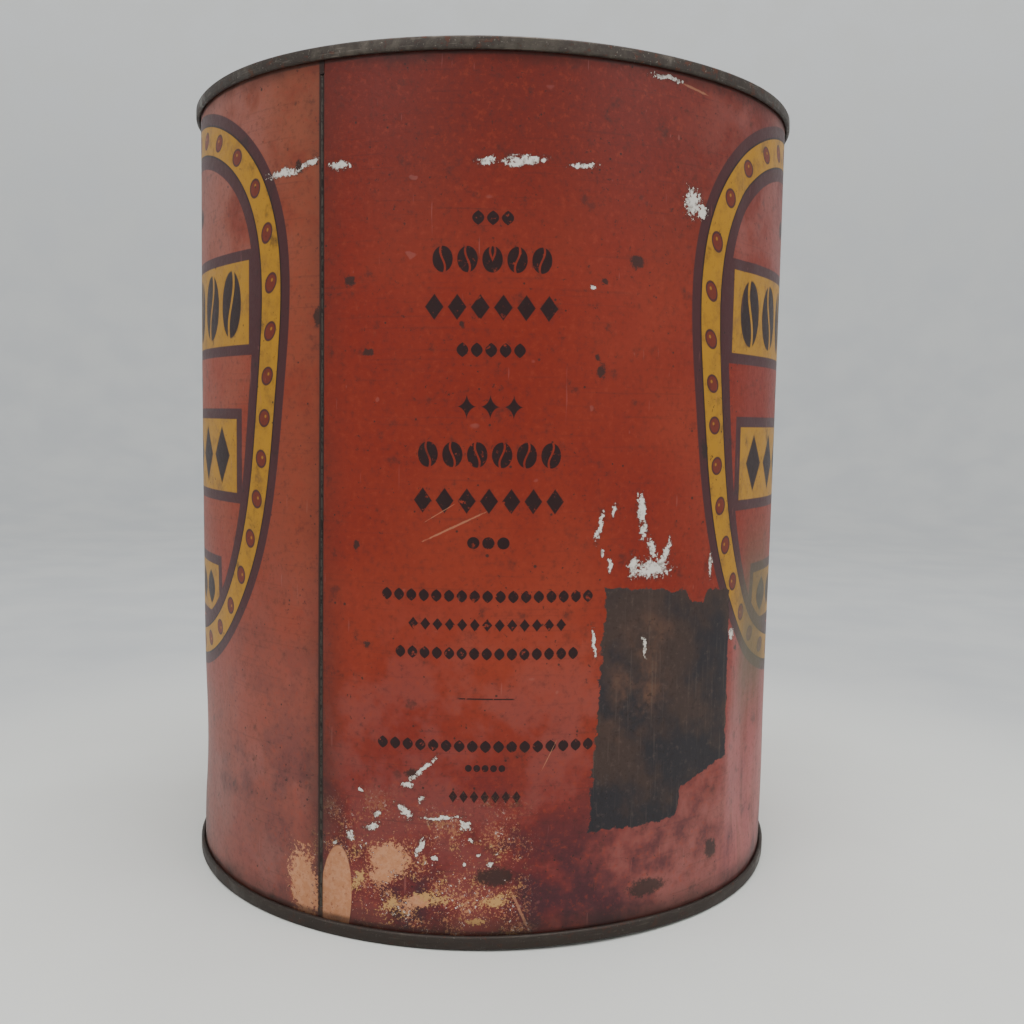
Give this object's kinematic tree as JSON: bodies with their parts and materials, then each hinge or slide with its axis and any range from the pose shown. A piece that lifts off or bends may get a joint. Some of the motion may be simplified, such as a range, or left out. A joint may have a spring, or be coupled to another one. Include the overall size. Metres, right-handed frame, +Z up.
{
  "type": "coffee tin",
  "caption": "Tall round tinplate coffee tin with double-seamed ends, a locked side seam and a push-in lever lid below the rim; printed label panels with worn paint.",
  "frame": {"origin": "centre of the base, on the plane the bottom seam stands on", "axes": "+Z up along the tin's axis, -Y out of the front panel between the two medallions, +X to the right of someone looking at that panel"},
  "size_m": [0.184, 0.184, 0.226],
  "materials": {
    "printed_tinplate": "satin red litho print, scratched, chipped and stained",
    "tarnished_tinplate": "bare tinplate, dark with tarnish",
    "lid_tinplate": "bare tinplate, patchy tarnish and light rust",
    "solder": "dull soft solder",
    "seam_compound": "matte"
  },
  "bodies": {
    "tin": {"body_shell": "printed_tinplate", "side_seam_solder": "solder", "bottom_end": "tarnished_tinplate", "bottom_seam_compound": "seam_compound", "top_ring": "tarnished_tinplate", "top_seam_compound": "seam_compound"},
    "lid": {"lid": "lid_tinplate"}
  },
  "joints": [
    {"name": "lid_lift", "type": "slide", "parent": "tin", "child": "lid", "axis": [0, 0, 1], "range_m": [0, 0.08]}
  ]
}
